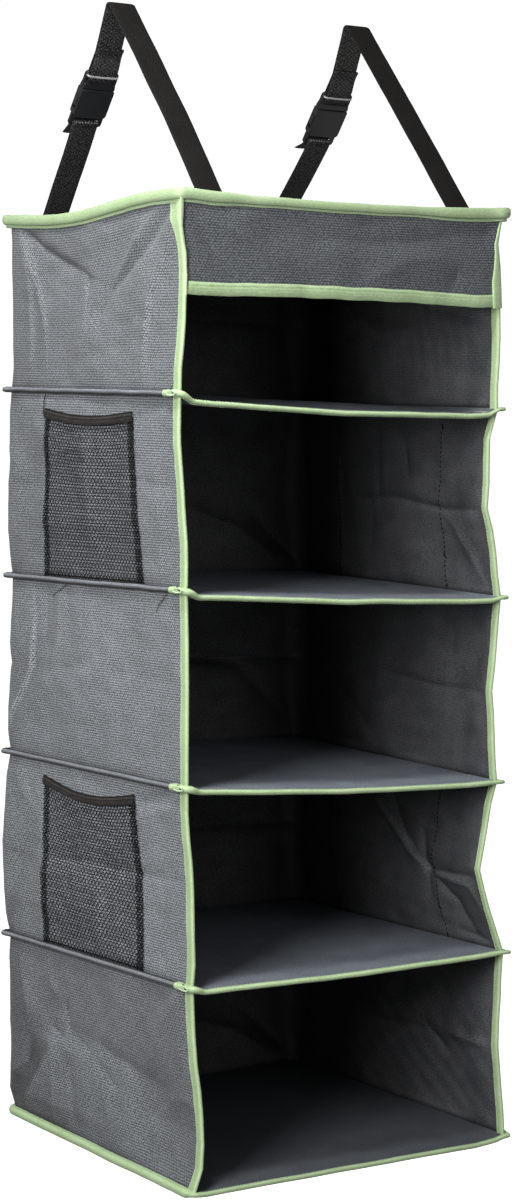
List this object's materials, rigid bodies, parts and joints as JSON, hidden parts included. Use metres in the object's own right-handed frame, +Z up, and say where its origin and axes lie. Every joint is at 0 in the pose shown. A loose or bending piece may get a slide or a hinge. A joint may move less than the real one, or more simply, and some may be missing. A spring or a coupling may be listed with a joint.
{
  "type": "hanging organizer",
  "caption": "Tall hanging cloth organizer with open-front compartments between stiffened shelves, net side pockets and buckled webbing straps to hang it from a bar.",
  "frame": {"origin": "on the line of the hanging bar, midway between the two straps: the centre of the bend at the peak of both strap loops", "axes": "+X to the right seen from the open front, +Y from the open front to the back, +Z up"},
  "size_m": [0.3254, 0.3254, 0.972],
  "materials": {
    "green_tape": "light green bias binding tape, slight sheen along its rolled edge",
    "grey_cloth": "grey coated polyester plain weave, matte",
    "header_cloth": "darker blue-grey ribbed polyester weave, matte",
    "shelf_cloth": "dark slate polyester over a stiff board, matte",
    "piping_tape": "grey folded tape over a cord, matte",
    "pocket_net": "black open knitted net",
    "pocket_hem": "dark brown-grey elastic hem tape",
    "black_webbing": "black polypropylene webbing, ribbed weave",
    "buckle_plastic": "black moulded acetal, satin",
    "stiffener_board": "stiff plastic board, hidden inside its sleeve"
  },
  "bodies": {
    "top": {"top_binding": "green_tape", "top_board": "stiffener_board", "top_sleeve": "shelf_cloth", "wall_1": "grey_cloth", "wall_1_binding_left": "green_tape", "wall_1_binding_right": "green_tape", "header_panel": "header_cloth", "header_binding": "green_tape", "strap_left_buckle_plug": "buckle_plastic", "strap_left_buckle_socket": "buckle_plastic", "strap_left_long_webbing": "black_webbing", "strap_left_rear_webbing": "black_webbing", "strap_right_buckle_plug": "buckle_plastic", "strap_right_buckle_socket": "buckle_plastic", "strap_right_long_webbing": "black_webbing", "strap_right_rear_webbing": "black_webbing"},
    "shelf_1": {"shelf_1_board": "stiffener_board", "shelf_1_front_binding": "green_tape", "shelf_1_piping": "piping_tape", "shelf_1_sleeve": "shelf_cloth", "wall_2": "grey_cloth", "wall_2_binding_left": "green_tape", "wall_2_binding_right": "green_tape", "pocket_2_left_net": "pocket_net", "pocket_2_left_hem": "pocket_hem", "pocket_2_right_net": "pocket_net", "pocket_2_right_hem": "pocket_hem"},
    "shelf_2": {"shelf_2_board": "stiffener_board", "shelf_2_front_binding": "green_tape", "shelf_2_piping": "piping_tape", "shelf_2_sleeve": "shelf_cloth", "wall_3": "grey_cloth", "wall_3_binding_left": "green_tape", "wall_3_binding_right": "green_tape"},
    "shelf_3": {"shelf_3_board": "stiffener_board", "shelf_3_front_binding": "green_tape", "shelf_3_piping": "piping_tape", "shelf_3_sleeve": "shelf_cloth", "wall_4": "grey_cloth", "wall_4_binding_left": "green_tape", "wall_4_binding_right": "green_tape", "pocket_4_left_net": "pocket_net", "pocket_4_left_hem": "pocket_hem", "pocket_4_right_net": "pocket_net", "pocket_4_right_hem": "pocket_hem"},
    "shelf_4": {"shelf_4_board": "stiffener_board", "shelf_4_front_binding": "green_tape", "shelf_4_piping": "piping_tape", "shelf_4_sleeve": "shelf_cloth", "wall_5": "grey_cloth", "wall_5_binding_left": "green_tape", "wall_5_binding_right": "green_tape"},
    "base": {"base_binding": "green_tape", "base_board": "stiffener_board", "base_sleeve": "shelf_cloth"},
    "strap_left_arm_left": {"strap_left_buckle_arm_left": "buckle_plastic"},
    "strap_left_arm_right": {"strap_left_buckle_arm_right": "buckle_plastic"},
    "strap_right_arm_left": {"strap_right_buckle_arm_left": "buckle_plastic"},
    "strap_right_arm_right": {"strap_right_buckle_arm_right": "buckle_plastic"}
  },
  "joints": [
    {"name": "shelf_1_lift", "type": "slide", "parent": "top", "child": "shelf_1", "axis": [0, 0, 1], "range_m": [0, 0.136], "deforming": ["wall_1", "wall_1_binding_left", "wall_1_binding_right", "header_panel", "header_binding"]},
    {"name": "shelf_2_lift", "type": "slide", "parent": "shelf_1", "child": "shelf_2", "axis": [0, 0, 1], "range_m": [0, 0.142], "deforming": ["wall_2", "wall_2_binding_left", "wall_2_binding_right", "pocket_2_left_net", "pocket_2_left_hem", "pocket_2_right_net", "pocket_2_right_hem"]},
    {"name": "shelf_3_lift", "type": "slide", "parent": "shelf_2", "child": "shelf_3", "axis": [0, 0, 1], "range_m": [0, 0.142], "deforming": ["wall_3", "wall_3_binding_left", "wall_3_binding_right"]},
    {"name": "shelf_4_lift", "type": "slide", "parent": "shelf_3", "child": "shelf_4", "axis": [0, 0, 1], "range_m": [0, 0.142], "deforming": ["wall_4", "wall_4_binding_left", "wall_4_binding_right", "pocket_4_left_net", "pocket_4_left_hem", "pocket_4_right_net", "pocket_4_right_hem"]},
    {"name": "base_lift", "type": "slide", "parent": "shelf_4", "child": "base", "axis": [0, 0, 1], "range_m": [0, 0.1392], "deforming": ["wall_5", "wall_5_binding_left", "wall_5_binding_right"]},
    {"name": "left_buckle_arm_left_press", "type": "hinge", "parent": "top", "child": "strap_left_arm_left", "pos_m": [-0.132, 0.05259, -0.05859], "axis": [0, -0.7609, -0.6488], "range_deg": [0, 10], "stiffness_Nm_per_rad": 0.3},
    {"name": "left_buckle_arm_right_press", "type": "hinge", "parent": "top", "child": "strap_left_arm_right", "pos_m": [-0.112, 0.05259, -0.05859], "axis": [0, 0.7609, 0.6488], "range_deg": [0, 10], "stiffness_Nm_per_rad": 0.3},
    {"name": "right_buckle_arm_left_press", "type": "hinge", "parent": "top", "child": "strap_right_arm_left", "pos_m": [0.112, 0.05259, -0.05859], "axis": [0, -0.7609, -0.6488], "range_deg": [0, 10], "stiffness_Nm_per_rad": 0.3},
    {"name": "right_buckle_arm_right_press", "type": "hinge", "parent": "top", "child": "strap_right_arm_right", "pos_m": [0.132, 0.05259, -0.05859], "axis": [0, 0.7609, 0.6488], "range_deg": [0, 10], "stiffness_Nm_per_rad": 0.3}
  ]
}
